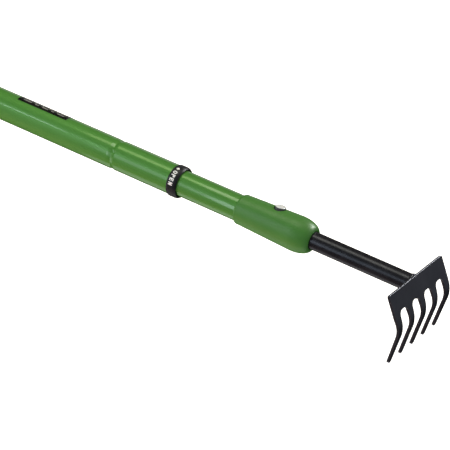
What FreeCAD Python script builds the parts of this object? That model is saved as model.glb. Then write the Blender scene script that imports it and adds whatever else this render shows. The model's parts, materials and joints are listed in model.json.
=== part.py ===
"""Telescoping hand cultivator: a handle with a twist lock, a push-button socket and a five-tine head.

Frame: millimetres, +X along the handle towards the head, +Z up, tines pointing down. The origin is the
centre of the hang hole in the end cap. Each function named in SUB_PARTS returns one sub-part.
"""
import FreeCAD
import Part

import math
import os

V = FreeCAD.Vector
ORIGIN = V(0, 0, 0)
X_AXIS = V(1, 0, 0)
Y_AXIS = V(0, 1, 0)
Z_AXIS = V(0, 0, 1)

# ---- tubes: outside radius and wall
TUBE_R = 12.7
TUBE_WALL = 0.8
TUBE_BORE = TUBE_R - TUBE_WALL
INNER_R = 10.95
INNER_WALL = 0.8
INNER_BORE = INNER_R - INNER_WALL
SHANK_R = 7.35
SHANK_WALL = 1.15
SHANK_BORE = SHANK_R - SHANK_WALL
FIT = 0.08                    # radial gap of a sliding or turning fit

# ---- stations along the handle
TUBE_START = 22.0             # outer tube's upper end, against the end cap's flange
TUBE_END = 518.7
COLLAR_FRONT = 520.4
COLLAR_LENGTH = 9.35
GROOVE_X = 453.6              # middle of the groove that is rolled into the outer tube
INNER_START = 170.0           # sliding tube's upper end
SOCKET_X = 576.4              # socket's rear end
SOCKET_END = 646.1
INNER_END = SOCKET_X + 22.0   # the sliding tube's lower end, inside the socket
BUTTON_X = 610.8

# ---- end cap and grip
HANG_HOLE_R = 5.0
TONGUE_R = 11.0
TONGUE_THICK = 8.0
CAP_START = TUBE_START - 7.0
CAP_R = 14.8
CAP_SPIGOT_END = TUBE_START + 24.0
GRIP_R = 15.6
GRIP_END = TUBE_START + 150.0
GRIP_RIBS = 11
RIB_PITCH = 8.0

# ---- groove, collar and label
GROOVE_HALF = 3.8
GROOVE_DEPTH = 0.6
GROOVE_NOSE = 0.5             # half the width of its narrow bottom
GROOVE_LIP = 0.52             # depth where the bottom's curve meets the shoulders
GROOVE_SHOULDER = 0.13        # depth half-way down a shoulder
DENT_X = 455.2                # one punch mark in the groove
DENT_ANGLE = -53.0            # degrees round the handle from its top, positive towards +Y
DENT_DEPTH = 0.85
DENT_R = 4.2
BUSH_START = 439.3
BUSH_END = 471.3
COLLAR_R = 13.55
COLLAR_SPIGOT = 14.0
COLLAR_TAPER = 3.2
LABEL_START = 348.3
LABEL_END = 400.0
LABEL_ANGLES = (-11.0, 47.0)  # degrees round the handle from its top, positive towards +Y
LABEL_THICK = 0.12

# ---- twist lock, on the sliding tube's upper end
STUD_R = 4.0
STUD_START = INNER_START - 50.0
STUD_END = INNER_START + 16.0
PLUG_FLANGE = 6.0
PLUG_LENGTH = 20.0
SLEEVE_START = INNER_START - 41.0
SLEEVE_END = INNER_START - 11.0
SLEEVE_SLOT = 2.4
CONE_LENGTH = 8.0
CONE_BIG_R = 9.2
CONE_SMALL_R = 6.4
CONE_GAP = 0.1
NUT_THICK = 4.0
NUT_FLATS = 13.0
PIN_R = 1.5

# ---- socket and push button
SOCKET_REAR_R = 12.65
SOCKET_FULL_R = 14.75
NOSE_LENGTH = 15.6
NOSE_R = 8.2
SHELL_BORE = 12.4
LINER_END = 632.0
RIVET_X = SOCKET_X + 10.0
RIVET_R = 2.0
RIVET_HEAD_R = 3.4
BUTTON_R = 4.5
BUTTON_TOP = 16.5             # height of the dome's top above the handle's axis
BUTTON_HOLE_R = 5.3
BUTTON_TURN = 13.0            # degrees from straight up towards the far side, +Y
CROWN_HEIGHT = 0.8
BUTTON_TRAVEL = 2.2
FLANGE_BASE = 10.7
FLANGE_THICK = 0.8
EAR_WIDTH = 7.0
SNAP_PIN_R = 3.2
SNAP_PIN_TOP = SHANK_R + BUTTON_TRAVEL
SPRING_TOP = 4.6
SPRING_THICK = 0.5
SPRING_WIDTH = 5.6
SHANK_START = INNER_END + 1.0

# ---- cultivator head
HEAD_WIDTH = 79.3
HEAD_THICK = 2.2
HEAD_LEAN = 26.3              # degrees that the plate leans forward, going down
TINE_RAKE = 12.0              # degrees that the tines lean back, going down
PLATE_TOP = V(737.0, 0, 7.95)     # upper edge of the plate's back face, on the centre line
BEND_FROM_TOP = 30.2          # along the plate, from its top to the middle of the bend
TINE_LENGTH = 34.3            # from the middle of the bend to the tips
BEND_R = 19.0
SLOT_FROM_TOP = 14.8          # along the plate, from its top to the ends of the slots
SLOT_CORNER = 4.3
TINES = 5
ROOT_PITCH = 17.8
ROOT_GAP = 11.1
BEND_PITCH = 17.6
BEND_GAP = 12.8
BEND_WIDTH = 77.5             # over the outer tines, at the bend
TIP_PITCH = 17.2
TINE_TIP = 3.65
PLATE_CORNER_R = 2.0
PLATE_EDGE_R = 0.75           # rounding of the plate's two long upper edges
BEAD_R = 9.3
BEAD_DROP = 1.1               # the bead sits lower than the shank, because the plate ends near its top
BEAD_LEG = 3.2


# ---- helpers
def line(a, b):
    return Part.LineSegment(a, b).toShape()


def arc(a, middle, b):
    return Part.Arc(a, middle, b).toShape()


def closed_face(points):
    """A face from a closed outline. A point is a vector, or a pair (middle, end) for an arc."""
    ends = [p if isinstance(p, FreeCAD.Vector) else p[1] for p in points]
    edges = []
    for start, point in zip(ends[-1:] + ends[:-1], points):
        if isinstance(point, FreeCAD.Vector):
            edges.append(line(start, point))
        else:
            edges.append(arc(start, *point))
    return Part.Face(Part.Wire(edges))


def on_plane(points, place):
    """Turns (a, b) and (a, b, middle a, middle b) into the vectors that closed_face takes."""
    return [place(*p) if len(p) == 2 else (place(*p[2:]), place(*p[:2])) for p in points]


def turned(points):
    """A solid of revolution about the handle's axis, from an outline of (x, radius)."""
    return closed_face(on_plane(points, lambda x, r: V(x, 0, r))).revolve(ORIGIN, X_AXIS, 360)


def turned_upright(x, points):
    """A solid of revolution about an upright axis at x, from an outline of (radius, z)."""
    face = closed_face(on_plane(points, lambda r, z: V(r, 0, z)))
    return face.revolve(ORIGIN, Z_AXIS, 360).translate(V(x, 0, 0))


def ring(x0, x1, bore, r):
    return turned([(x0, bore), (x1, bore), (x1, r), (x0, r)])


def rod(x0, x1, r):
    return Part.makeCylinder(r, x1 - x0, V(x0, 0, 0), X_AXIS)


def upright(x, z0, z1, r):
    return Part.makeCylinder(r, z1 - z0, V(x, 0, z0), Z_AXIS)


def at_button(shape):
    """A shape that is drawn upright, swung round the handle's axis to where the button stands."""
    return shape.rotate(ORIGIN, X_AXIS, -BUTTON_TURN)


# ---- handle
def rolled_groove(base, along):
    """Outline of the rolled groove in a surface of radius base: long shoulders and a narrow bottom.

    along is 1 when the outline runs towards the head and -1 when it runs back.
    """
    far, near = along * GROOVE_HALF, along * GROOVE_NOSE
    halfway = (far + near) / 2
    return [
        (GROOVE_X - far, base),
        (GROOVE_X - near, base - GROOVE_LIP, GROOVE_X - halfway, base - GROOVE_SHOULDER),
        (GROOVE_X + near, base - GROOVE_LIP, GROOVE_X, base - GROOVE_DEPTH),
        (GROOVE_X + far, base, GROOVE_X + halfway, base - GROOVE_SHOULDER),
    ]


def outer_tube():
    tube = turned([
        (TUBE_START, TUBE_BORE),
        *rolled_groove(TUBE_BORE, 1),
        (TUBE_END, TUBE_BORE),
        (TUBE_END, TUBE_R),
        *rolled_groove(TUBE_R, -1),
        (TUBE_START, TUBE_R),
    ])
    punch = Part.makeSphere(DENT_R, V(DENT_X, 0, TUBE_R - DENT_DEPTH + DENT_R))
    return tube.cut(punch.rotate(ORIGIN, X_AXIS, -DENT_ANGLE))


def grip():
    """Moulded sleeve with rounded ends, a stop ring at its lower end and a row of ring grooves."""
    lip = 1.0
    outline = [
        (TUBE_START, TUBE_R),
        (GRIP_END, TUBE_R),
        (GRIP_END, GRIP_R - 1.0),
        (GRIP_END - 2.0, GRIP_R + lip, GRIP_END - 0.5, GRIP_R + lip - 0.6),
        (GRIP_END - 7.0, GRIP_R + lip),
        (GRIP_END - 11.0, GRIP_R),
    ]
    middle = (TUBE_START + GRIP_END) / 2 - 3.0
    for k in range(GRIP_RIBS):
        x = middle + (GRIP_RIBS - 1 - 2 * k) * RIB_PITCH / 2
        outline.append((x + 1.5, GRIP_R))
        outline.append((x - 1.5, GRIP_R, x, GRIP_R - 0.8))
    outline.append((TUBE_START + 3.0, GRIP_R))
    outline.append((TUBE_START, GRIP_R - 0.8, TUBE_START + 1.2, GRIP_R - 0.2))
    return turned(outline)


def end_cap():
    """Plug in the outer tube's upper end, with a flange and a flat tongue round the hang hole."""
    flange = turned([
        (CAP_START, 0),
        (TUBE_START, 0),
        (TUBE_START, CAP_R),
        (CAP_START + 4.0, CAP_R - 0.3),
        (CAP_START, CAP_R - 4.0, CAP_START + 1.3, CAP_R - 1.6),
    ])
    spigot = turned([
        (TUBE_START, TUBE_BORE - 2.9),
        (CAP_SPIGOT_END, TUBE_BORE - 2.9),
        (CAP_SPIGOT_END, TUBE_BORE - 0.6),
        (CAP_SPIGOT_END - 2.0, TUBE_BORE),
        (TUBE_START, TUBE_BORE),
    ])
    half = TONGUE_THICK / 2
    disc = upright(0, -half, half, TONGUE_R)
    neck = Part.makeBox(CAP_START + 1.0, 2 * TONGUE_R, TONGUE_THICK, V(0, -TONGUE_R, -half))
    tongue = disc.fuse(neck).removeSplitter()
    rims = [e for e in tongue.Edges
            if abs(abs(e.CenterOfMass.z) - half) < 0.001 and e.CenterOfMass.x < CAP_START]
    tongue = tongue.makeFillet(2.0, rims).cut(upright(0, -half, half, HANG_HOLE_R))
    mouths = [e for e in tongue.Edges if abs(e.Length - 2 * math.pi * HANG_HOLE_R) < 0.001]
    tongue = tongue.makeChamfer(0.5, mouths)
    return flange.fuse([spigot, tongue]).removeSplitter()


def label_strip():
    """Thin strip laid along the top of the outer tube."""
    band = ring(LABEL_START, LABEL_END, TUBE_R, TUBE_R + LABEL_THICK)
    a0, a1 = (math.radians(a) for a in LABEL_ANGLES)
    reach = 3 * TUBE_R
    outline = [V(LABEL_START, 0, 0)]
    for a in (a0, (a0 + a1) / 2, a1):
        outline.append(V(LABEL_START, reach * math.sin(a), reach * math.cos(a)))
    wedge = closed_face(outline).extrude(X_AXIS * (LABEL_END - LABEL_START))
    return band.common(wedge)


def lock_collar():
    """Ring over the outer tube's lower end. Its front wall has a spigot that guides the sliding tube."""
    back = COLLAR_FRONT - COLLAR_LENGTH
    bore = INNER_R + FIT
    return turned([
        (back, TUBE_R),
        (TUBE_END, TUBE_R),
        (TUBE_END, TUBE_BORE),
        (TUBE_END - COLLAR_SPIGOT, TUBE_BORE),
        (TUBE_END - COLLAR_SPIGOT, bore),
        (COLLAR_FRONT - 3.5, bore),
        (COLLAR_FRONT - 2.2, bore + 0.7),
        (COLLAR_FRONT - 0.3, bore + 0.7),
        (COLLAR_FRONT, bore + 1.0),
        (COLLAR_FRONT - 0.2, COLLAR_R - 1.1),
        (COLLAR_FRONT - COLLAR_TAPER, COLLAR_R, COLLAR_FRONT - COLLAR_TAPER / 2, COLLAR_R - 0.3),
        (back + 1.8, COLLAR_R),
        (back + 0.6, COLLAR_R - 0.3, back + 1.1, COLLAR_R - 0.1),
    ])


def guide_bush():
    """Sleeve between the two tubes, held by the groove that is rolled into the outer tube."""
    bore = INNER_R + FIT
    outside = TUBE_BORE - 0.02
    return turned([
        (BUSH_START, bore),
        (BUSH_END, bore),
        (BUSH_END, outside),
        *rolled_groove(outside, -1),
        (BUSH_START, outside),
    ])


# ---- sliding tube and twist lock
def inner_tube():
    tube = ring(INNER_START, INNER_END, INNER_BORE, INNER_R)
    return tube.cut(plug_pin()).cut(upright(RIVET_X, -INNER_R - 1, 0, RIVET_R))


def plug_pin():
    """Cross pin through the sliding tube, the plug and the stud."""
    return upright(INNER_START + 10.0, -INNER_R + 0.1, INNER_R - 0.1, PIN_R)


def lock_plug():
    """Plug pressed into the sliding tube. Its flange guides the tube's upper end and stops at the bush."""
    guide = TUBE_BORE - FIT
    start = INNER_START - PLUG_FLANGE
    end = INNER_START + PLUG_LENGTH
    plug = turned([
        (start, STUD_R),
        (end, STUD_R),
        (end, INNER_BORE - 0.5),
        (end - 1.0, INNER_BORE),
        (INNER_START, INNER_BORE),
        (INNER_START, guide),
        (start + 0.8, guide),
        (start, guide - 0.8),
    ])
    return plug.cut(plug_pin())


def lock_stud():
    stud = turned([
        (STUD_START, 0),
        (STUD_END, 0),
        (STUD_END, STUD_R),
        (STUD_START + 0.8, STUD_R),
        (STUD_START, STUD_R - 0.8),
    ])
    return stud.cut(plug_pin())


def hexagon(x0, x1, flats):
    corner = flats / math.sqrt(3)
    angles = [math.radians(60 * k) for k in range(6)]
    face = closed_face([V(x0, corner * math.sin(a), corner * math.cos(a)) for a in angles])
    return face.extrude(X_AXIS * (x1 - x0))


def end_nut():
    """Hexagon nut that keeps the fixed cone on the stud."""
    x1 = SLEEVE_START - 4.0
    return hexagon(x1 - NUT_THICK, x1, NUT_FLATS).cut(rod(x1 - 2 * NUT_THICK, x1 + 1, STUD_R))


def end_cone():
    """Fixed cone, against the nut on the stud's upper end."""
    x0 = SLEEVE_START
    return turned([
        (x0 - 4.0, STUD_R),
        (x0 + CONE_LENGTH, STUD_R),
        (x0 + CONE_LENGTH, CONE_SMALL_R),
        (x0, CONE_BIG_R),
        (x0 - 3.0, CONE_BIG_R),
        (x0 - 4.0, CONE_BIG_R - 1.0),
    ])


def expander_sleeve():
    """Split sleeve with a conical seat at both ends and four slots, two open at each end."""
    x0, x1 = SLEEVE_START, SLEEVE_END
    big, small = CONE_BIG_R + CONE_GAP, CONE_SMALL_R + CONE_GAP
    outside = TUBE_BORE - FIT
    body = turned([
        (x0, big),
        (x0 + CONE_LENGTH, small),
        (x1 - CONE_LENGTH, small),
        (x1, big),
        (x1, outside - 0.6),
        (x1 - 0.6, outside),
        (x0 + 0.6, outside),
        (x0, outside - 0.6),
    ])
    length = x1 - x0 - 6.0
    for k in range(4):
        start = x0 - 1.0 if k % 2 else x1 - length + 1.0
        slot = Part.makeBox(length, SLEEVE_SLOT, 2 * outside, V(start, -SLEEVE_SLOT / 2, 0))
        body = body.cut(slot.rotate(ORIGIN, X_AXIS, 90 * k))
    return body


def cone_nut():
    """Threaded cone on the stud. Two ribs in the sleeve's slots keep it from turning."""
    x1 = SLEEVE_END
    body = turned([
        (x1 - CONE_LENGTH, STUD_R + 0.05),
        (x1 + 3.0, STUD_R + 0.05),
        (x1 + 3.0, CONE_BIG_R),
        (x1, CONE_BIG_R),
        (x1 - CONE_LENGTH, CONE_SMALL_R),
    ])
    width = SLEEVE_SLOT - 0.5
    foot = STUD_R + 1.0
    height = TUBE_BORE - 1.0 - foot
    for angle in (0, 180):
        rib = Part.makeBox(CONE_LENGTH - 1.0, width, height, V(x1 - CONE_LENGTH + 2.0, -width / 2, foot))
        body = body.fuse(rib.rotate(ORIGIN, X_AXIS, angle))
    return body.removeSplitter()


# ---- socket and push button
def nose_profile():
    """Outer outline of the nose: a quarter of an ellipse, from the full radius to the shank's hole."""
    x0 = SOCKET_END - NOSE_LENGTH
    ellipse = Part.Ellipse(V(x0, 0, NOSE_R), NOSE_LENGTH, SOCKET_FULL_R - NOSE_R)
    quarter = Part.ArcOfEllipse(ellipse, 0, math.pi / 2).toShape()
    return quarter.rotate(V(x0, 0, NOSE_R), X_AXIS, 90)


def socket_shell():
    """Moulded shell: it widens towards a rounded nose. The sliding tube enters behind, the shank in front."""
    rear = [
        V(SOCKET_END, 0, NOSE_R),
        V(SOCKET_END, 0, SHANK_R + 0.55),
        V(SOCKET_END - 1.2, 0, SHANK_R + FIT),
        V(LINER_END, 0, SHANK_R + FIT),
        V(LINER_END, 0, SHELL_BORE),
        V(INNER_END, 0, SHELL_BORE),
        V(INNER_END, 0, INNER_R),
        V(SOCKET_X, 0, INNER_R),
        V(SOCKET_X, 0, SOCKET_REAR_R - 1.2),
    ]
    edges = [line(a, b) for a, b in zip(rear, rear[1:])]
    shoulder = V(SOCKET_X + 2.6, 0, SOCKET_REAR_R)
    edges.append(arc(rear[-1], V(SOCKET_X + 0.8, 0, SOCKET_REAR_R - 0.35), shoulder))
    edges.append(line(shoulder, V(SOCKET_END - NOSE_LENGTH, 0, SOCKET_FULL_R)))
    edges.append(nose_profile())
    shell = Part.Face(Part.Wire(Part.__sortEdges__(edges))).revolve(ORIGIN, X_AXIS, 360)
    shell = shell.cut(at_button(upright(BUTTON_X, 0, 2 * SOCKET_FULL_R, BUTTON_HOLE_R)))
    shell = shell.cut(upright(RIVET_X, -2 * SOCKET_FULL_R, -INNER_R - 0.6, RIVET_HEAD_R + 0.2))
    return shell.cut(upright(RIVET_X, -INNER_R - 1.0, 0, RIVET_R))


def socket_liner():
    """Stiff core of the socket: a spigot in the sliding tube, the shank's bore and the button's pocket."""
    rear = INNER_END - 20.0
    liner = turned([
        (rear, 0),
        (SHANK_START - 0.5, 0),
        (SHANK_START - 0.5, SHANK_R + FIT),
        (LINER_END, SHANK_R + FIT),
        (LINER_END, SHELL_BORE),
        (INNER_END, SHELL_BORE),
        (INNER_END, INNER_BORE),
        (rear + 1.0, INNER_BORE),
        (rear, INNER_BORE - 0.6),
    ])
    floor = FLANGE_BASE - BUTTON_TRAVEL - 0.1
    width = 2 * BUTTON_R + 0.6
    pocket = Part.makeBox(17.0, width, SHELL_BORE, V(BUTTON_X - 8.5, -width / 2, floor))
    liner = liner.cut(at_button(pocket))
    liner = liner.cut(at_button(upright(BUTTON_X, 0, SHELL_BORE, SNAP_PIN_R + FIT)))
    return liner.cut(upright(RIVET_X, -INNER_R, -INNER_R + 5.0, RIVET_R))


def socket_rivet():
    """Rivet from below, through the shell and the sliding tube into the liner."""
    seat = -INNER_R - 0.6
    top = seat + 5.0
    return turned_upright(RIVET_X, [
        (0, top),
        (RIVET_R, top),
        (RIVET_R, seat),
        (RIVET_HEAD_R, seat),
        (RIVET_HEAD_R, seat - 0.4),
        (0.9, seat - 1.1, RIVET_HEAD_R - 1.0, seat - 0.95),
        (0.9, seat - 0.5),
        (0, seat - 0.5),
    ])


def push_button():
    """Domed button with two ears that stay under the shell, and a stem over the snap pin."""
    crown_r = BUTTON_R - 0.9
    sphere_r = (crown_r ** 2 + CROWN_HEIGHT ** 2) / (2 * CROWN_HEIGHT)
    half_drop = sphere_r - math.sqrt(sphere_r ** 2 - (crown_r / 2) ** 2)
    dome = turned_upright(BUTTON_X, [
        (0, SNAP_PIN_TOP),
        (SNAP_PIN_R, SNAP_PIN_TOP),
        (SNAP_PIN_R, FLANGE_BASE),
        (BUTTON_R, FLANGE_BASE),
        (BUTTON_R, BUTTON_TOP - 1.7),
        (crown_r, BUTTON_TOP - CROWN_HEIGHT, BUTTON_R - 0.25, BUTTON_TOP - 1.1),
        (0, BUTTON_TOP, crown_r / 2, BUTTON_TOP - half_drop),
    ])
    ears = Part.makeBox(16.0, EAR_WIDTH, FLANGE_THICK, V(BUTTON_X - 8.0, -EAR_WIDTH / 2, FLANGE_BASE))
    return at_button(dome.fuse(ears).removeSplitter())


def snap_pin():
    """Pin on the spring: it stands through the shank's wall into the liner."""
    return at_button(upright(BUTTON_X, SPRING_TOP, SNAP_PIN_TOP, SNAP_PIN_R))


def button_spring():
    """V spring inside the shank: the upper leg carries the snap pin, the lower lies on the far wall."""
    low = -math.sqrt(SHANK_BORE ** 2 - (SPRING_WIDTH / 2) ** 2) + 0.05
    back, bend = BUTTON_X - 5.0, BUTTON_X + 22.0
    mid = (SPRING_TOP + low) / 2
    r = 1.5
    t = SPRING_THICK
    face = closed_face(on_plane([
        (back, SPRING_TOP),
        (bend, mid + r),
        (bend, mid - r, bend + r, mid),
        (back, low),
        (back, low + t),
        (bend, mid - r + t),
        (bend, mid + r - t, bend + r - t, mid),
        (back, SPRING_TOP - t),
    ], lambda x, z: V(x, -SPRING_WIDTH / 2, z)))
    return at_button(face.extrude(Y_AXIS * SPRING_WIDTH))


# ---- head
def plate_axes():
    """Unit vectors down along the plate and out of its front."""
    lean = math.radians(HEAD_LEAN)
    return V(math.sin(lean), 0, -math.cos(lean)), V(math.cos(lean), 0, math.sin(lean))


def tine_axes():
    rake = math.radians(-TINE_RAKE)
    return V(math.sin(rake), 0, -math.cos(rake)), V(math.cos(rake), 0, math.sin(rake))


def ahead_of(offset):
    """A block that fills all space ahead of a plane parallel to the plate's back, offset behind it."""
    down, front = plate_axes()
    size = 200.0
    corner = PLATE_TOP - front * offset - down * size - Y_AXIS * size
    a, b, side = corner, corner + down * 2 * size, Y_AXIS * 2 * size
    return closed_face([a, b, b + side, a + side]).extrude(front * size)


def shank():
    """Tube from the socket to the plate's back. Its end is cut to the plate's lean."""
    tube = ring(SHANK_START, PLATE_TOP.x + 30.0, SHANK_BORE, SHANK_R).cut(ahead_of(0))
    return tube.cut(at_button(upright(BUTTON_X, 0, 2 * SHANK_R, SNAP_PIN_R + FIT)))


def weld_bead():
    """Weld all round the shank, on the plate's back."""
    x0, x1 = PLATE_TOP.x - 30.0, PLATE_TOP.x + 30.0
    bead = rod(x0, x1, BEAD_R).translate(V(0, 0, -BEAD_DROP)).cut(ahead_of(0)).common(ahead_of(BEAD_LEG))
    rim = min((e for e in bead.Edges if e.isClosed()), key=lambda e: e.CenterOfMass.x)
    bead = bead.makeFillet(1.9, [rim])
    return bead.cut(rod(x0, x1, SHANK_R))


def off_edge(corner, along, across, r, width):
    """What a rounding of radius r takes off an edge along Y. along and across lie in its two faces."""
    inset = r * (1 - math.sqrt(0.5))
    face = closed_face([corner, corner + along * r, (corner + (along + across) * inset, corner + across * r)])
    return face.extrude(Y_AXIS * width).translate(Y_AXIS * (-width / 2))


def head_sheet():
    """The bent sheet at full width, before its outline is cut, and the point at the tips' middle."""
    down, front = plate_axes()
    down2, front2 = tine_axes()
    half = HEAD_THICK / 2
    turn = math.radians(HEAD_LEAN + TINE_RAKE)
    tangent = (BEND_R + half) * math.tan(turn / 2)
    top = PLATE_TOP + front * half
    bend = top + down * BEND_FROM_TOP
    start, end, tip = bend - down * tangent, bend + down2 * tangent, bend + down2 * TINE_LENGTH
    centre = start - front * (BEND_R + half)
    middle = (start + end - centre * 2).normalize()
    face = closed_face([
        top + front * half,
        start + front * half,
        (centre + middle * (BEND_R + HEAD_THICK), end + front2 * half),
        tip + front2 * half,
        tip - front2 * half,
        end - front2 * half,
        (centre + middle * BEND_R, start - front * half),
        top - front * half,
    ])
    sheet = face.extrude(Y_AXIS * HEAD_WIDTH).translate(Y_AXIS * (-HEAD_WIDTH / 2))
    corners = [e for e in sheet.Edges
               if abs(e.Length - HEAD_THICK) < 0.001 and (e.CenterOfMass - top).dot(down) < 0.001]
    sheet = sheet.makeFillet(PLATE_CORNER_R, corners)
    for side in (front, front * -1):
        sheet = sheet.cut(off_edge(top + side * half, down, side * -1, PLATE_EDGE_R, HEAD_WIDTH))
    return sheet, tip


def tine_sides(k, pitch, gap, width):
    """Both sides of a tine at one level, from the gaps' pitch and width and the head's width there."""
    left = -width / 2 if k == 0 else (k - TINES / 2) * pitch + gap / 2
    right = width / 2 if k == TINES - 1 else (k + 1 - TINES / 2) * pitch - gap / 2
    return left, right


def head_outline(slot_z, bend_z, tip_z):
    """Front outline of the plate and its tines, as (y, z): tapered tines with rounded tips and slots."""
    edge, above = HEAD_WIDTH / 2, PLATE_TOP.z + 10.0
    tip, corner = TINE_TIP / 2, SLOT_CORNER
    inset = corner * (1 - math.sqrt(0.5))
    root_z = slot_z - corner
    outline = [(edge, above), (-edge, above)]
    for k in range(TINES):
        root = tine_sides(k, ROOT_PITCH, ROOT_GAP, HEAD_WIDTH)
        bend = tine_sides(k, BEND_PITCH, BEND_GAP, BEND_WIDTH)
        y_tip = (k - (TINES - 1) / 2) * TIP_PITCH
        if k == 0:
            outline.append((root[0], root_z))
        outline.append((bend[0], bend_z))
        outline.append((y_tip - tip, tip_z + tip))
        outline.append((y_tip + tip, tip_z + tip, y_tip, tip_z))
        outline.append((bend[1], bend_z))
        outline.append((root[1], root_z))
        if k < TINES - 1:
            left, right = root[1], root[1] + ROOT_GAP
            outline.append((left + corner, slot_z, left + inset, slot_z - inset))
            outline.append((right - corner, slot_z))
            outline.append((right, root_z, right - inset, slot_z - inset))
    return outline


def rake_head():
    """Stamped head: the plate and five tines are one bent sheet."""
    sheet, tip = head_sheet()
    down = plate_axes()[0]
    slot_z = (PLATE_TOP + down * SLOT_FROM_TOP).z
    bend_z = (PLATE_TOP + down * BEND_FROM_TOP).z
    x0 = PLATE_TOP.x - 40.0
    outline = head_outline(slot_z, bend_z, tip.z - 0.2)
    face = closed_face(on_plane(outline, lambda y, z: V(x0, y, z)))
    return sheet.common(face.extrude(X_AXIS * 90.0))


SUB_PARTS = {
    "outer_tube": outer_tube,
    "grip": grip,
    "end_cap": end_cap,
    "label_strip": label_strip,
    "lock_collar": lock_collar,
    "guide_bush": guide_bush,
    "inner_tube": inner_tube,
    "plug_pin": plug_pin,
    "lock_plug": lock_plug,
    "lock_stud": lock_stud,
    "end_nut": end_nut,
    "end_cone": end_cone,
    "expander_sleeve": expander_sleeve,
    "cone_nut": cone_nut,
    "socket_shell": socket_shell,
    "socket_liner": socket_liner,
    "socket_rivet": socket_rivet,
    "push_button": push_button,
    "snap_pin": snap_pin,
    "button_spring": button_spring,
    "shank": shank,
    "weld_bead": weld_bead,
    "rake_head": rake_head,
}


def main():
    os.makedirs("parts", exist_ok=True)
    for name, make in SUB_PARTS.items():
        shape = make()
        print(name, shape.isValid(), len(shape.Solids), round(shape.Volume / 1000, 3), "cm3")
        shape.exportStep("parts/" + name + ".step")


main()
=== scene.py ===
"""Looks of the telescopic hand cultivator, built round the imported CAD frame. Units are metres."""

import json
import math

import bmesh
import bpy
from mathutils import Matrix, Vector, noise


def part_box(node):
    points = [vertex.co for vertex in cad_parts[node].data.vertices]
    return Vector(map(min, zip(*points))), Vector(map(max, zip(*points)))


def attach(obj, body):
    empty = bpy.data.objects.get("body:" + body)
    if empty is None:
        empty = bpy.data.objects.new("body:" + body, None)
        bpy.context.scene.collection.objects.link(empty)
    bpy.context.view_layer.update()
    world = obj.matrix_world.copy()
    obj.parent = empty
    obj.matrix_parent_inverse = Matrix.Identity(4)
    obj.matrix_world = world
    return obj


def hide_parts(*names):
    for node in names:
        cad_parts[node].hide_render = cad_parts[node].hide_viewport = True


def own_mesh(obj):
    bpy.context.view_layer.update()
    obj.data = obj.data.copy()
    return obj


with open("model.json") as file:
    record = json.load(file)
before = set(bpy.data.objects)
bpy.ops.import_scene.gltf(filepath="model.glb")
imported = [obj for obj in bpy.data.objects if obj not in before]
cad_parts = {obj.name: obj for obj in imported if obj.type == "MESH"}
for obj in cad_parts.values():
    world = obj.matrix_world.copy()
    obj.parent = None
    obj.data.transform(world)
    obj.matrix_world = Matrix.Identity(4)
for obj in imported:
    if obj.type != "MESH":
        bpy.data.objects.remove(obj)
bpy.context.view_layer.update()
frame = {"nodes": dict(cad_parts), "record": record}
NODES = frame["nodes"]

MM = 0.001
BODY = "lower_section"


# ---- places, from the frame
def low(node):
    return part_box(node)[0]


def high(node):
    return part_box(node)[1]


SHANK_R = high("shank").z
BUTTON_LEAN = math.radians(13.0)
BUTTON_AXIS = Vector((0, math.sin(BUTTON_LEAN), math.cos(BUTTON_LEAN)))

# ---- node materials
MIDDLE = (0.3, 0.7)  # where most of a noise's values lie


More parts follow.
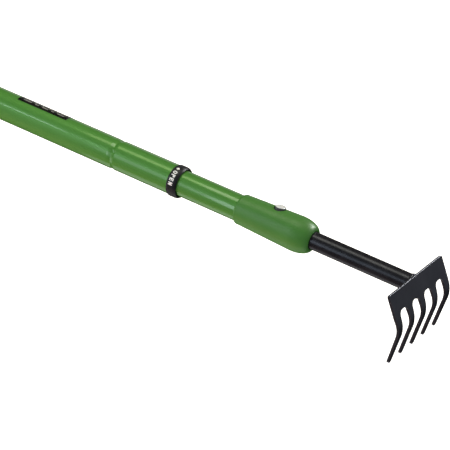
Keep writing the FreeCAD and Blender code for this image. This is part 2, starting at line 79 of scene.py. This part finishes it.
class Nodes:
    """A material's node tree, with short calls for the nodes that every finish here uses."""

    def __init__(self, name):
        self.material = bpy.data.materials.new(name)
        self.material.use_nodes = True
        self.tree = self.material.node_tree
        self.shader = self.tree.nodes["Principled BSDF"]
        self.place = self.add("ShaderNodeTexCoord").outputs["Object"]

    def add(self, kind, **settings):
        node = self.tree.nodes.new(kind)
        for key, value in settings.items():
            setattr(node, key, value)
        return node

    def link(self, source, target):
        self.tree.links.new(source, target)

    def stretched(self, scale, turn=(0, 0, 0)):
        """Object coordinates, turned and scaled along each axis."""
        mapping = self.add("ShaderNodeMapping")
        mapping.inputs["Scale"].default_value = scale
        mapping.inputs["Rotation"].default_value = turn
        self.link(self.place, mapping.inputs["Vector"])
        return mapping.outputs["Vector"]

    def noise(self, scale, detail=3.0, rough=0.5, place=None):
        node = self.add("ShaderNodeTexNoise")
        node.inputs["Scale"].default_value = scale
        node.inputs["Detail"].default_value = detail
        node.inputs["Roughness"].default_value = rough
        self.link(place or self.place, node.inputs["Vector"])
        return node.outputs["Fac"]

    def spread(self, value, taken, given):
        """Maps the range taken onto the range given, and holds what lies outside."""
        node = self.add("ShaderNodeMapRange")
        keys = ("From Min", "From Max", "To Min", "To Max")
        for key, number in zip(keys, (*taken, *given)):
            node.inputs[key].default_value = number
        self.link(value, node.inputs["Value"])
        return node.outputs["Result"]

    def colours(self, value, *stops):
        """Colour ramp over value. stops are (position, colour)."""
        node = self.add("ShaderNodeValToRGB")
        ramp = node.color_ramp
        while len(ramp.elements) < len(stops):
            ramp.elements.new(0.5)
        for element, (position, colour) in zip(ramp.elements, stops):
            element.position = position
            element.color = (*colour, 1)
        self.link(value, node.inputs["Fac"])
        return node.outputs["Color"]

    def mixed(self, share, first, colour):
        """The socket first, with a share of a plain colour."""
        node = self.add("ShaderNodeMix", data_type="RGBA")
        self.link(share, node.inputs["Factor"])
        self.link(first, node.inputs["A"])
        node.inputs["B"].default_value = (*colour, 1)
        return node.outputs["Result"]

    def bump(self, *heights):
        """Chained bumps from (height, strength, distance)."""
        normal = None
        for height, strength, distance in heights:
            node = self.add("ShaderNodeBump")
            node.inputs["Strength"].default_value = strength
            node.inputs["Distance"].default_value = distance
            self.link(height, node.inputs["Height"])
            if normal:
                self.link(normal, node.inputs["Normal"])
            normal = node.outputs["Normal"]
        self.link(normal, self.shader.inputs["Normal"])

    def set(self, **values):
        """Links or sets the shader's sockets. Their names have _ for a space."""
        for key, value in values.items():
            socket = self.shader.inputs[key.replace("_", " ")]
            if isinstance(value, bpy.types.NodeSocket):
                self.link(value, socket)
            else:
                socket.default_value = value


def green_lacquer():
    """Gloss lacquer on the tubes, with a fine metallic flake, orange peel and faint sliding marks."""
    m = Nodes("green_lacquer")
    drift = m.noise(scale=9, detail=4)
    tone = m.colours(drift, (0.3, (0.074, 0.275, 0.038)), (0.7, (0.088, 0.310, 0.047)))
    flake = m.spread(m.noise(scale=5200, detail=1.0), (0.45, 0.75), (0.0, 0.35))
    rub = m.noise(scale=1.0, detail=3, rough=0.6, place=m.stretched((14, 900, 900)))
    worn = m.spread(rub, (0.60, 0.80), (0.0, 0.30))
    colour = m.mixed(flake, tone, (0.120, 0.380, 0.065))
    m.set(Base_Color=m.mixed(worn, colour, (0.11, 0.31, 0.07)), Metallic=0.2)
    m.set(Roughness=m.spread(m.noise(scale=60, detail=5), MIDDLE, (0.34, 0.46)))
    m.set(Coat_Weight=1.0, Coat_Roughness=0.07, Coat_IOR=1.5)
    m.bump((m.noise(scale=420, detail=2.0), 0.12, 0.20 * MM), (rub, 0.05, 0.10 * MM))
    return m.material


def green_mould():
    """Satin moulded plastic of the socket: fine spark grain and slow colour drift."""
    m = Nodes("green_mould")
    drift = m.noise(scale=35, detail=4)
    m.set(Base_Color=m.colours(drift, (0.3, (0.057, 0.217, 0.032)), (0.7, (0.068, 0.246, 0.038))))
    m.set(Roughness=m.spread(m.noise(scale=300, detail=3), MIDDLE, (0.36, 0.46)))
    m.set(Specular_IOR_Level=0.50)
    grain = m.noise(scale=3800, detail=2.0)
    wave = m.noise(scale=90, detail=2.0)
    m.bump((grain, 0.12, 0.06 * MM), (wave, 0.05, 0.30 * MM))
    return m.material


def black_mould():
    """Satin moulded black plastic of the collar, the end cap and the inner fittings."""
    m = Nodes("black_mould")
    tone = 0.012
    dark = (tone * 0.9, tone * 0.95, tone * 1.3)
    light = (tone * 1.7, tone * 1.8, tone * 2.3)
    m.set(Base_Color=m.colours(m.noise(scale=160, detail=5), (0.35, dark), (0.75, light)))
    m.set(Roughness=m.spread(m.noise(scale=420, detail=4), MIDDLE, (0.36, 0.50)))
    grain = m.noise(scale=3200, detail=2.0)
    wave = m.noise(scale=120, detail=2.0)
    m.bump((grain, 0.15, 0.06 * MM), (wave, 0.06, 0.30 * MM))
    return m.material


def pale_mould():
    """Unpigmented plastic of the hidden bush and cones."""
    m = Nodes("pale_mould")
    drift = m.noise(scale=120, detail=4)
    m.set(Base_Color=m.colours(drift, (0.3, (0.62, 0.60, 0.54)), (0.7, (0.72, 0.70, 0.64))))
    m.set(Roughness=m.spread(m.noise(scale=300, detail=3), MIDDLE, (0.38, 0.5)))
    m.set(Subsurface_Weight=0.08, Subsurface_Radius=(0.002, 0.002, 0.0015))
    m.bump((m.noise(scale=1500, detail=2.0), 0.08, 0.10 * MM))
    return m.material


def grip_rubber():
    """Matt black rubber with a fine leathery grain and a little dust."""
    m = Nodes("grip_rubber")
    cells = m.add("ShaderNodeTexVoronoi")
    cells.inputs["Scale"].default_value = 1100
    m.link(m.place, cells.inputs["Vector"])
    dust = m.spread(m.noise(scale=45, detail=6, rough=0.65), (0.48, 0.78), (0.0, 0.5))
    drift = m.noise(scale=240, detail=4)
    tone = m.colours(drift, (0.3, (0.010, 0.010, 0.011)), (0.7, (0.020, 0.020, 0.021)))
    m.set(Base_Color=m.mixed(dust, tone, (0.040, 0.038, 0.034)))
    m.set(Roughness=m.spread(m.noise(scale=180, detail=4), MIDDLE, (0.62, 0.78)), IOR=1.45)
    pores = m.noise(scale=2600, detail=2.0)
    m.bump((cells.outputs["Distance"], 0.30, 0.12 * MM), (pores, 0.2, 0.05 * MM))
    return m.material


def black_paint(name="black_paint", rough=(0.24, 0.34), tone=0.010):
    """Baked black paint on steel: light orange peel, dust and slightly brighter worn spots."""
    m = Nodes(name)
    dark = (tone, tone, tone * 1.35)
    light = (tone * 1.8, tone * 1.8, tone * 2.3)
    base = m.colours(m.noise(scale=75, detail=5), (0.3, dark), (0.75, light))
    specks = m.spread(m.noise(scale=1600, detail=2.0), (0.72, 0.82), (0.0, 0.4))
    m.set(Base_Color=m.mixed(specks, base, (0.050, 0.050, 0.052)))
    m.set(Roughness=m.spread(m.noise(scale=240, detail=5), MIDDLE, rough))
    m.set(Specular_Tint=(0.84, 0.87, 1.0, 1))
    peel = m.noise(scale=520, detail=2.0)
    grain = m.noise(scale=2400, detail=2.0)
    m.bump((peel, 0.07, 0.18 * MM), (grain, 0.04, 0.04 * MM))
    return m.material


def zinc():
    """Zinc-plated steel of the rivet, pins, stud, nut and spring."""
    m = Nodes("zinc_plate")
    blotch = m.noise(scale=260, detail=4)
    dull, bright, yellowish = (0.46, 0.47, 0.48), (0.58, 0.58, 0.57), (0.62, 0.59, 0.50)
    m.set(Base_Color=m.colours(blotch, (0.3, dull), (0.55, bright), (0.8, yellowish)))
    m.set(Metallic=1.0, Roughness=m.spread(blotch, MIDDLE, (0.24, 0.42)))
    m.bump((m.noise(scale=2200, detail=2.0), 0.15, 0.05 * MM))
    return m.material


# Where the button's flank turns to painted shade: a painted dark reflection of the hole round the button.
DARK_REFLECTION_TOP = 1.10 * MM  # below the button's crown
DARK_REFLECTION_FULL = 1.40 * MM
DARK_REFLECTION_SHARE = 0.92


def bright_button():
    """Nickel-plated button, softly brushed. Its crown's near-white base colour is partly the nickel's own
    pale colour and partly a painted reflection of the bright surroundings; its flank is painted dark, a
    painted reflection of the dark hole round it.
    """
    m = Nodes("bright_nickel")
    top = max(v.co.dot(BUTTON_AXIS) for v in NODES["push_button"].data.vertices)
    level = m.add("ShaderNodeSeparateXYZ")
    m.link(m.stretched((1, 1, 1), (BUTTON_LEAN, 0, 0)), level.inputs["Vector"])
    # Painted dark reflection: the flank below the crown is darkened, standing in for the dark hole that
    # the chrome reflects.
    painted_dark_reflection = m.spread(level.outputs["Z"], (top - DARK_REFLECTION_FULL, top - DARK_REFLECTION_TOP), (DARK_REFLECTION_SHARE, 0.0))
    brushed = m.stretched((300, 5200, 300), (0, 0, 0.5))
    scratch = m.noise(scale=1.0, detail=2.0, place=brushed)
    drift = m.noise(scale=500, detail=3)
    # Near-white crown: partly the nickel's own colour, partly a painted reflection of the bright white
    # surroundings.
    tone = m.colours(drift, (0.3, (0.90, 0.94, 1.0)), (0.7, (0.95, 0.98, 1.0)))
    # The dark colour mixed in here is the painted reflection of the hole.
    m.set(Base_Color=m.mixed(painted_dark_reflection, tone, (0.045, 0.050, 0.045)))
    m.set(Metallic=0.25, Roughness=m.spread(scratch, (0.4, 0.75), (0.20, 0.30)))
    m.bump((scratch, 0.04, 0.03 * MM))
    return m.material


def label_film():
    """Black printed film with a faint sheen and dust."""
    m = Nodes("label_film")
    drift = m.noise(scale=190, detail=5)
    m.set(Base_Color=m.colours(drift, (0.35, (0.006, 0.008, 0.006)), (0.8, (0.014, 0.018, 0.013))))
    m.set(Roughness=m.spread(m.noise(scale=320, detail=4), MIDDLE, (0.22, 0.36)))
    m.bump((m.noise(scale=700, detail=2.0), 0.08, 0.10 * MM))
    return m.material


def printed_ink(name, tone):
    """Pad-printed ink, white or grey, a little uneven."""
    m = Nodes(name)
    thin, full = (tone * 0.9,) * 3, (tone,) * 3
    m.set(Base_Color=m.colours(m.noise(scale=1300, detail=4), (0.3, thin), (0.65, full)))
    m.set(Roughness=m.spread(m.noise(scale=900, detail=3), MIDDLE, (0.45, 0.6)))
    m.bump((m.noise(scale=2600, detail=2.0), 0.2, 0.04 * MM))
    return m.material


FINISH = {
    "green_paint": green_lacquer(),
    "green_plastic": green_mould(),
    "black_plastic": black_mould(),
    "natural_plastic": pale_mould(),
    "grip_rubber": grip_rubber(),
    "black_paint": black_paint(),
    "chrome": bright_button(),
    "steel": zinc(),
    "label_film": label_film(),
}
# Painted light: the head gets a paler copy of the shank's black paint, lighter to stand in for the light
# on its face.
HEAD_PAINT_LIT = black_paint("head_paint", (0.28, 0.38), 0.016)
INK = printed_ink("white_ink", 1.0)
GREY_INK = printed_ink("grey_ink", 0.30)


def dress_frame():
    """Gives every CAD node the finish of its slot, and the head a paler copy of the black paint, painted
    lighter to stand in for the light on its face.
    """
    slots = {part["node"]: part["material_slot"] for part in frame["record"]["subparts"]}
    for name, obj in NODES.items():
        finish = HEAD_PAINT_LIT if name == "rake_head" else FINISH[slots[name]]
        for holder in obj.material_slots:
            holder.material = finish


# ---- pieces
def add_piece(name, bm, material, body, smooth=True):
    """Turns a bmesh that is drawn in the row frame into a piece that rides on a body."""
    mesh = bpy.data.meshes.new(name)
    bm.normal_update()
    bm.to_mesh(mesh)
    bm.free()
    mesh.polygons.foreach_set("use_smooth", [smooth] * len(mesh.polygons))
    mesh.materials.append(material)
    obj = bpy.data.objects.new(name, mesh)
    bpy.context.scene.collection.objects.link(obj)
    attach(obj, body)
    return obj


# ---- flat shapes, as distance functions that are negative inside
def bar(x0, y0, x1, y1, width):
    """A straight stroke with square ends."""
    length = math.hypot(x1 - x0, y1 - y0)
    ux, uy = (x1 - x0) / length, (y1 - y0) / length
    mx, my = (x0 + x1) / 2, (y0 + y1) / 2

    def distance(x, y):
        along = abs((x - mx) * ux + (y - my) * uy) - length / 2
        across = abs((y - my) * ux - (x - mx) * uy) - width / 2
        return max(along, across)
    return distance


def oval(cx, cy, rx, ry, width):
    """An upright oval ring. The distance is near enough."""
    def distance(x, y):
        reach = math.hypot((x - cx) / rx, (y - cy) / ry)
        scale = math.hypot(x - cx, y - cy) / reach if reach > 0.01 else min(rx, ry)
        return abs(reach - 1) * scale - width / 2
    return distance


def bowl(x0, cy, rx, ry, width):
    """The right half of an oval ring."""
    ring = oval(x0, cy, rx, ry, width)
    return lambda x, y: max(ring(x, y), x0 - x)


def joined(*strokes):
    return lambda x, y: min(stroke(x, y) for stroke in strokes)


def edge_point(a, b, da, db):
    """Where the shape's edge crosses the line from a to b, from the distances there."""
    t = da / (da - db)
    return (a[0] + (b[0] - a[0]) * t, a[1] + (b[1] - a[1]) * t)


def filled(shape, size, step):
    """Polygons that fill the inside of a shape over a box of size, about the origin."""
    nx, ny = (int(math.ceil(length / step)) + 2 for length in size)
    at = [[((i - nx / 2) * step, (j - ny / 2) * step) for j in range(ny + 1)] for i in range(nx + 1)]
    value = [[shape(*p) for p in column] for column in at]
    polygons = []
    for i in range(nx):
        for j in range(ny):
            cell = [(i, j), (i + 1, j), (i + 1, j + 1), (i, j + 1)]
            outline = []
            for (a, b), (c, d) in zip(cell, cell[1:] + cell[:1]):
                if value[a][b] < 0:
                    outline.append(at[a][b])
                if (value[a][b] < 0) != (value[c][d] < 0):
                    outline.append(edge_point(at[a][b], at[c][d], value[a][b], value[c][d]))
            if len(outline) > 2:
                polygons.append(outline)
    return polygons


def raised(bm, polygons, place, height):
    """Lays flat polygons round the handle's axis as a film. place turns (a, b) into a point."""
    corners = {}
    faces = []
    for outline in polygons:
        ring = []
        for a, b in outline:
            key = (round(a, 8), round(b, 8))
            if key not in corners:
                corners[key] = bm.verts.new(place(a, b))
            if corners[key] not in ring:
                ring.append(corners[key])
        if len(ring) > 2:
            faces.append(bm.faces.new(ring))
    grown = bmesh.ops.extrude_face_region(bm, geom=faces)["geom"]
    for vert in (v for v in grown if isinstance(v, bmesh.types.BMVert)):
        outward = Vector((0, vert.co.y, vert.co.z))
        vert.co += outward.normalized() * height
    bmesh.ops.recalc_face_normals(bm, faces=bm.faces)


# ---- the collar's print
LETTER_WIDTH = 2.5 * MM
LETTER_HEIGHT = 3.9 * MM
STROKE = 0.84 * MM
PRINT_CELL = 0.11 * MM
PRINT_HEIGHT = 0.05 * MM
PRINT_GAP = 0.005 * MM
PRINT_FROM_RIM = 5.1 * MM
PRINT_TURNS = {"arrow": 12.4, "letter_o": 30.2, "letter_p": 44.6, "letter_e": 58.6, "letter_n": 73.6}


def letter_shapes():
    """O, P, E and N and an arrow, drawn about their middles with the letters' tops towards +y."""
    w, h, s = LETTER_WIDTH / 2, LETTER_HEIGHT / 2, STROKE
    left, right = -w + s / 2, w - s / 2
    low_y, high_y = -h + s / 2, h - s / 2
    bowl_y, bowl_low = h / 2 - 0.1 * MM, -0.2 * MM + s / 2
    stem = bar(left, -h, left, h, s)
    return {
        "arrow": joined(
            bar(-w, 0, w * 0.4, h * 0.62, s),
            bar(-w, 0, w * 0.4, -h * 0.62, s),
            bar(-w, 0, w, 0, s),
        ),
        "letter_o": oval(0, 0, w + 0.15 * MM - s / 2, high_y, s),
        "letter_p": joined(
            stem,
            bowl(0, bowl_y, right, h / 2 + 0.1 * MM - s / 2, s),
            bar(left, high_y, 0, high_y, s),
            bar(left, bowl_low, 0, bowl_low, s),
        ),
        "letter_e": joined(stem, *(bar(left, y, w - 0.15 * MM, y, s * 0.95) for y in (low_y, 0, high_y))),
        "letter_n": joined(stem, bar(right, -h, right, h, s), bar(left, high_y, right, low_y, s * 1.15)),
    }


def add_collar_print():
    """A generic word for the turning direction, printed round the collar's outside."""
    radius = high("lock_collar").z + PRINT_GAP
    middle_x = high("lock_collar").x - PRINT_FROM_RIM
    box = (LETTER_WIDTH * 1.3, LETTER_HEIGHT * 1.1)
    bm = bmesh.new()
    for name, shape in letter_shapes().items():
        start = math.radians(PRINT_TURNS[name])

        def place(a, b):
            angle = -(start + a / radius)
            return (middle_x + b, radius * math.sin(angle), radius * math.cos(angle))
        raised(bm, filled(shape, box, PRINT_CELL), place, PRINT_HEIGHT)
    add_piece("collar_print", bm, INK, "handle", smooth=False)


# ---- the label's print
LABEL_CELL = 0.45 * MM
LABEL_PRINT_HEIGHT = 0.03 * MM
LABEL_GAP = 0.004 * MM
LABEL_MARGIN = 4.5 * MM
BAR_GAP = 1.2
LABEL_ROWS = (  # degrees round the tube, the bars' height, and their lengths in shares of the row
    (18, 1.9 * MM, (3.0, 1.1, 2.0, 0.8, 1.7, 1.0, 2.6, 0.8, 1.3, 2.2, 0.9)),
    (4, 1.0 * MM, (3.0, 1.4, 2.2, 1.0, 2.6)),
)


def add_label_print():
    """Rows of short blank bars on the label, in place of its lettering."""
    radius = max(v.co.yz.length for v in NODES["label_strip"].data.vertices) + LABEL_GAP
    x0, x1 = low("label_strip").x, high("label_strip").x
    bm = bmesh.new()
    for degrees, height, lengths in LABEL_ROWS:
        pace = (x1 - x0 - 2 * LABEL_MARGIN) / (sum(lengths) + BAR_GAP * (len(lengths) - 1))
        x = x0 + LABEL_MARGIN
        for length in lengths:
            wide = length * pace
            middle = x + wide / 2
            x += wide + BAR_GAP * pace

            def place(a, b):
                angle = math.radians(degrees) + b / radius
                return (middle + a, radius * math.sin(angle), radius * math.cos(angle))
            shape = bar(-wide / 2, 0, wide / 2, 0, height)
            cells = filled(shape, (wide * 1.1, height * 1.3), LABEL_CELL)
            raised(bm, cells, place, LABEL_PRINT_HEIGHT)
    add_piece("label_print", bm, GREY_INK, "handle", smooth=False)


# ---- the weld
HEAD_LEAN = math.radians(26.3)
BEAD_STEPS = 200
BEAD_RINGS = 12
BEAD_RIPPLES = 24
BEAD_ROOT = 0.3 * MM
LUMP_SIZE = 2.2
LUMP_LEVEL = 4.7


def weld_point(turn, share, plate_x):
    """A point on the bead: turn goes round the shank, share from the shank's side to the plate's."""
    ripple = 0.5 + 0.5 * math.cos(turn * BEAD_RIPPLES + 2.0 * math.sin(3 * turn))
    lump = noise.noise(Vector((math.cos(turn) * LUMP_SIZE, math.sin(turn) * LUMP_SIZE, LUMP_LEVEL)))
    leg = (2.45 + 0.8 * lump + 0.25 * ripple) * MM
    spread = (1.75 + 0.6 * lump + 0.20 * ripple - 0.55 * max(0.0, math.cos(turn))) * MM
    swing = share * math.pi / 2
    back = leg * math.cos(swing)
    radius = SHANK_R + spread * math.sin(swing)
    y, z = radius * math.sin(turn), radius * math.cos(turn)
    return (plate_x - z * math.tan(HEAD_LEAN) - back, y, z)


def add_weld():
    """Hand-laid bead between the shank and the plate's back, with the ripples that a weld sets in."""
    plate_x = high("weld_bead").x - abs(low("weld_bead").z) * math.tan(HEAD_LEAN)
    inner = SHANK_R - BEAD_ROOT
    rows = []
    bm = bmesh.new()
    for i in range(BEAD_STEPS):
        turn = 2 * math.pi * i / BEAD_STEPS
        row = [weld_point(turn, j / BEAD_RINGS, plate_x) for j in range(BEAD_RINGS + 1)]
        z = inner * math.cos(turn)
        row.append((plate_x - z * math.tan(HEAD_LEAN), inner * math.sin(turn), z))
        rows.append([bm.verts.new(p) for p in row])
    for here, there in zip(rows, rows[1:] + rows[:1]):
        for j in range(len(here)):
            k = (j + 1) % len(here)
            bm.faces.new((here[j], here[k], there[k], there[j]))
    bmesh.ops.recalc_face_normals(bm, faces=bm.faces)
    bead = add_piece("weld", bm, FINISH["black_paint"], BODY)
    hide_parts("weld_bead")


def add_spring():
    """The V spring, copied into a piece of its own with a mesh of its own."""
    bm = bmesh.new()
    bm.from_mesh(NODES["button_spring"].data)
    spring = add_piece("flat_spring", bm, FINISH["steel"], BODY, smooth=False)
    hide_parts("button_spring")
    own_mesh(spring)


def add_details():
    add_weld()
    add_spring()
    add_collar_print()
    add_label_print()


# ---- stage
FLOOR_SIZE = 24
FLOOR_GAP = 0.0004
GRIP_INSET = 0.003
GRIP_SINK = 0.0016


def add_floor():
    """Pale, glowing floor under the tines' tips and the grip's upper end, where the tool would lie."""
    head_x = (low("rake_head").x + high("rake_head").x) / 2
    front = Vector((head_x, 0, low("rake_head").z))
    back = Vector((low("grip").x + GRIP_INSET, 0, low("grip").z + GRIP_SINK))
    slope = math.atan2(back.z - front.z, front.x - back.x)
    bpy.ops.mesh.primitive_plane_add(size=FLOOR_SIZE, location=front - Vector((0, 0, FLOOR_GAP)))
    floor = bpy.context.object
    floor.rotation_euler = (0, slope, 0)
    floor.name = "floor"
    m = Nodes("floor_paper")
    drift = m.noise(scale=3, detail=3)
    m.set(Base_Color=m.colours(drift, (0.3, (0.86, 0.86, 0.86)), (0.7, (0.89, 0.89, 0.89))))
    m.set(Roughness=m.spread(m.noise(scale=25, detail=3), MIDDLE, (0.8, 0.95)))
    m.set(Emission_Color=(1, 1, 1, 1), Emission_Strength=1.0)
    floor.data.materials.append(m.material)
    floor.visible_glossy = False
    floor.visible_diffuse = False
    floor.visible_shadow = False


PLAIN = (1, 1, 1)
WARM = (1.0, 0.97, 0.82)
LEAFY = (0.85, 1.0, 0.50)
COOL = (0.84, 0.96, 1.0)
BLUE = (0.80, 0.88, 1.0)
AMBER = (1.0, 0.52, 0.32)
STRAW = (1.0, 0.80, 0.50)
SKY = (0.92, 0.97, 1.0, 1)
SKY_STRENGTH = 0.46


def add_area(name, middle, target, size, power, colour):
    """A softbox at middle that faces target, the first side of its size along the handle."""
    light = bpy.data.lights.new(name, "AREA")
    light.shape = "RECTANGLE"
    light.size, light.size_y = size
    light.energy = power
    light.color = colour
    obj = bpy.data.objects.new(name, light)
    bpy.context.scene.collection.objects.link(obj)
    out = (Vector(middle) - Vector(target)).normalized()
    along = Vector((1, 0, 0)) if abs(out.x) < 0.9 else Vector((0, 1, 0))
    side = (along - out * along.dot(out)).normalized()
    up = out.cross(side)
    obj.matrix_world = Matrix.Translation(Vector(middle)) @ turned(side, up, out)
    return obj


def turned(side, up, out):
    """The turn that takes x, y and z to side, up and out."""
    return Matrix(((side.x, up.x, out.x), (side.y, up.y, out.y), (side.z, up.z, out.z))).to_4x4()


def add_glint(*light):
    """A softbox that shows as a reflection without lighting the tool's colour."""
    add_area(*light).visible_diffuse = False


def add_fill(*light):
    """A softbox that lights the tool without showing as a reflection."""
    add_area(*light).visible_glossy = False


def add_lights():
    """Strips that draw the streaks, panels that the head and the groove reflect, and soft fills."""
    add_area("overhead_strip", (0.245, 0.00, 0.98), (0.245, 0, 0), (0.41, 0.44), 1.75, WARM)
    add_area("overhead_end", (-0.05, 0.00, 0.98), (-0.05, 0, 0), (0.18, 0.34), 0.42, LEAFY)
    add_area("side_strip", (-0.09, -1.41, 0.37), (-0.09, 0, 0), (0.20, 0.78), 1.70, COOL)
    add_area("side_tail", (0.14, -1.41, 0.36), (0.14, 0, 0), (0.26, 0.70), 0.50, BLUE)
    add_area("side_end", (-0.29, -1.38, 0.44), (-0.29, 0, 0), (0.20, 0.60), 0.45, COOL)
    add_area("thin_strip", (-0.75, -1.16, 0.83), (-0.75, 0, 0), (0.62, 0.07), 0.8, COOL)
    add_glint("thin_end", (-0.74, -1.16, 0.83), (-0.74, 0, 0), (0.60, 0.06), 4.6, COOL)
    add_glint("edge_light", (1.05, 0.94, 0.69), (0.72, 0, 0), (0.40, 0.36), 16.0, PLAIN)
    add_area("back_panel", (-0.27, 1.30, 0.16), (-0.27, 0, 0), (0.66, 0.40), 0.5, PLAIN)
    add_area("head_panel", (1.45, 0.95, 0.05), (0.72, 0, 0), (1.1, 0.9), 0.80, BLUE)
    add_area("far_panel", (-0.85, -0.62, -0.52), (0.46, 0, 0), (1.1, 0.9), 2.6, PLAIN)
    add_area("under_panel", (0.60, -0.22, -1.20), (0.55, 0, 0), (1.8, 0.9), 3.2, PLAIN)
    add_fill("under_fill", (0.02, -0.80, -1.00), (0.28, 0, 0), (1.2, 1.0), 13.0, AMBER)
    add_fill("top_fill", (0.55, 0.80, 1.60), (0.55, 0, 0), (2.2, 1.6), 17.0, STRAW)
    add_fill("left_fill", (-0.70, -1.30, 0.70), (0.50, 0, 0), (1.2, 1.0), 3.3, PLAIN)


def add_world():
    """Even daylight all round, which isn't reflected."""
    world = bpy.data.worlds.new("studio")
    bpy.context.scene.world = world
    world.use_nodes = True
    background = world.node_tree.nodes["Background"]
    background.inputs["Color"].default_value = SKY
    background.inputs["Strength"].default_value = SKY_STRENGTH
    world.cycles_visibility.glossy = False


# ---- camera
AZIMUTH = math.radians(31.37)
ELEVATION = math.radians(31.53)
ROLL = math.radians(6.26)
LOOK_AT = Vector((0.520, 0, 0))
DISTANCE = 1.94662
MOVED_RIGHT = 0.0335
MOVED_DOWN = 0.03359
SENSOR_WIDTH = 36
LENS = 192


def add_camera():
    """The view: from the tool's side, turned towards the head, from above, and a little rolled."""
    back = Vector((
        math.cos(ELEVATION) * math.sin(AZIMUTH),
        -math.cos(ELEVATION) * math.cos(AZIMUTH),
        math.sin(ELEVATION),
    ))
    level = Vector((0, 0, 1)).cross(back).normalized()
    upright = back.cross(level)
    right = level * math.cos(ROLL) + upright * math.sin(ROLL)
    up = upright * math.cos(ROLL) - level * math.sin(ROLL)
    data = bpy.data.cameras.new("camera")
    data.sensor_width = SENSOR_WIDTH
    data.lens = LENS
    data.clip_end = 60
    camera = bpy.data.objects.new("camera", data)
    bpy.context.scene.collection.objects.link(camera)
    place = LOOK_AT + back * DISTANCE + right * MOVED_RIGHT - up * MOVED_DOWN
    camera.matrix_world = Matrix.Translation(place) @ turned(right, up, back)
    bpy.context.scene.camera = camera


dress_frame()
add_details()
add_floor()
add_lights()
add_world()
add_camera()
bpy.context.scene.view_settings.view_transform = "Standard"
